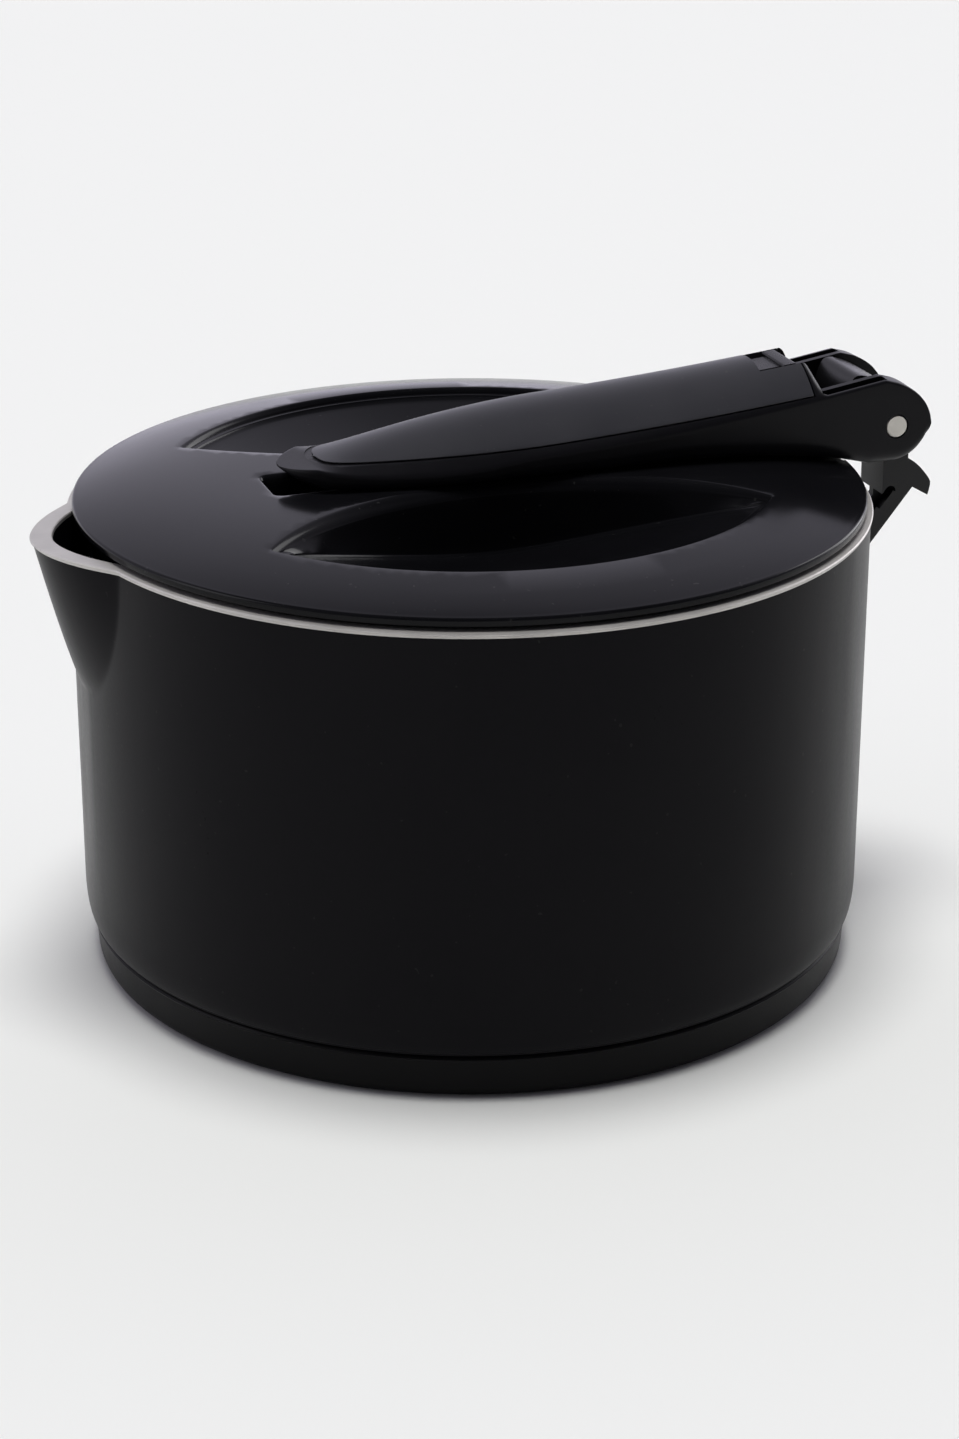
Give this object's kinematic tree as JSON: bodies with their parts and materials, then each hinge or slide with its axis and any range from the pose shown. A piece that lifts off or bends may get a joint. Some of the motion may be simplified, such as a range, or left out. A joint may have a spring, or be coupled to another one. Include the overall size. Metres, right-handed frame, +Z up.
{
  "type": "stove-top kettle",
  "caption": "Low round stove-top kettle with a pouring lip, a lift-off lid with finger wells and a latched handle that folds over the lid.",
  "frame": {"origin": "on the kettle's axis, on the surface that it stands on", "axes": "+Z up along the pot's axis, -X towards the pouring lip, +X towards the handle's hinge, Y along the hinge pin"},
  "size_m": [0.1902, 0.1606, 0.1177],
  "materials": {
    "black_coating": "satin",
    "bare_aluminium": "satin",
    "steel": "polished",
    "dark_steel": "satin",
    "bronze": "satin",
    "glossy_black": "gloss",
    "satin_grey": "satin",
    "matte_black": "satin",
    "grey_silicone": "matte"
  },
  "bodies": {
    "kettle": {"pot_body": "black_coating", "base_cap": "black_coating", "heat_spreader": "bare_aluminium", "bracket_saddle": "dark_steel", "handle_bracket": "matte_black", "bracket_screw_1": "steel", "bracket_screw_2": "steel", "hinge_bush": "bronze"},
    "handle": {"handle_body": "matte_black", "handle_inlay": "satin_grey", "inlay_screw_1": "steel", "inlay_screw_2": "steel", "hinge_pin": "steel", "hinge_washer_1": "steel", "hinge_washer_2": "steel", "latch_spring": "steel"},
    "latch": {"latch_thumb": "matte_black", "latch_bolt": "dark_steel"},
    "lid": {"lid_shell": "glossy_black", "lid_plate": "matte_black", "lid_gasket": "grey_silicone", "lid_screw_1": "steel", "lid_screw_2": "steel", "lid_screw_3": "steel"}
  },
  "joints": [
    {"name": "handle_fold", "type": "hinge", "parent": "kettle", "child": "handle", "pos_m": [0.0872, 0, 0.1042], "axis": [0, 1, 0], "range_deg": [0, 210]},
    {"name": "latch_slide", "type": "slide", "parent": "handle", "child": "latch", "axis": [-0.9954, 0, -0.0958], "range_m": [0, 0.004], "stiffness_N_per_m": 400, "springref_m": -0.002, "deforming": ["latch_spring"]},
    {"name": "lid_lift", "type": "slide", "parent": "kettle", "child": "lid", "axis": [0, 0, 1], "range_m": [0, 0.022]}
  ],
  "couplings": [
    {"joint": "lid_lift", "follows": "handle_fold", "m_per_rad": 0.006}
  ]
}
